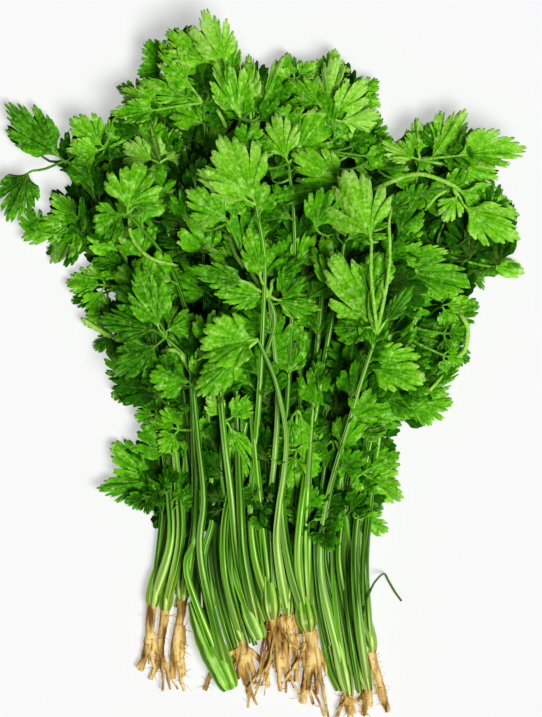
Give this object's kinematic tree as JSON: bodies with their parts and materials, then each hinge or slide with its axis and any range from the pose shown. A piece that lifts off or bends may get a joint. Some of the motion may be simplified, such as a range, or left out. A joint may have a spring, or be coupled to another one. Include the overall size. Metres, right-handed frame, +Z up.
{
  "type": "coriander bunch",
  "caption": "Loose bunch of fresh whole coriander plants lying flat: pale roots, ribbed green stalks and lobed toothed leaves.",
  "frame": {"origin": "middle of the bunch's outline seen from above, on the surface it lies on", "axes": "+Z up from the surface; +Y along the bunch towards the leaf tips, -Y towards the roots; +X to the right seen from above with the leaves at the top"},
  "size_m": [0.2434, 0.322, 0.0557],
  "materials": {
    "leaf": "soft satin leaf, paler veins",
    "stalk": "smooth ribbed stalk, pale yellow-green at the crown",
    "root": "matt, ringed and creased"
  },
  "bodies": {
    "root": {"plant_01_leaf_1": "leaf", "plant_01_leaf_2": "leaf", "plant_01_leaf_3": "leaf", "plant_01_root": "root", "plant_01_stalks": "stalk", "plant_02_leaf_1": "leaf", "plant_02_leaf_2": "leaf", "plant_02_root": "root", "plant_02_stalks": "stalk", "plant_03_leaf_1": "leaf", "plant_03_leaf_2": "leaf", "plant_03_leaf_3": "leaf", "plant_03_root": "root", "plant_03_stalks": "stalk", "plant_04_leaf_1": "leaf", "plant_04_leaf_2": "leaf", "plant_04_leaf_3": "leaf", "plant_04_leaf_4": "leaf", "plant_04_stalks": "stalk", "plant_05_leaf_1": "leaf", "plant_05_leaf_2": "leaf", "plant_05_leaf_3": "leaf", "plant_05_stalks": "stalk", "plant_06_leaf_1": "leaf", "plant_06_leaf_2": "leaf", "plant_06_root": "root", "plant_06_stalks": "stalk", "plant_07_leaf_1": "leaf", "plant_07_leaf_2": "leaf", "plant_07_leaf_3": "leaf", "plant_07_leaf_4": "leaf", "plant_07_root": "root", "plant_07_stalks": "stalk", "plant_08_leaf_1": "leaf", "plant_08_leaf_2": "leaf", "plant_08_leaf_3": "leaf", "plant_08_root": "root", "plant_08_stalks": "stalk", "plant_09_leaf_1": "leaf", "plant_09_leaf_2": "leaf", "plant_09_leaf_3": "leaf", "plant_09_leaf_4": "leaf", "plant_09_root": "root", "plant_09_stalks": "stalk", "plant_10_leaf_1": "leaf", "plant_10_leaf_2": "leaf", "plant_10_leaf_3": "leaf", "plant_10_root": "root", "plant_10_stalks": "stalk", "plant_11_leaf_1": "leaf", "plant_11_leaf_2": "leaf", "plant_11_leaf_3": "leaf", "plant_11_root": "root", "plant_11_stalks": "stalk", "plant_12_leaf_1": "leaf", "plant_12_leaf_2": "leaf", "plant_12_leaf_3": "leaf", "plant_12_leaf_4": "leaf", "plant_12_root": "root", "plant_12_stalks": "stalk"}
  },
  "joints": []
}
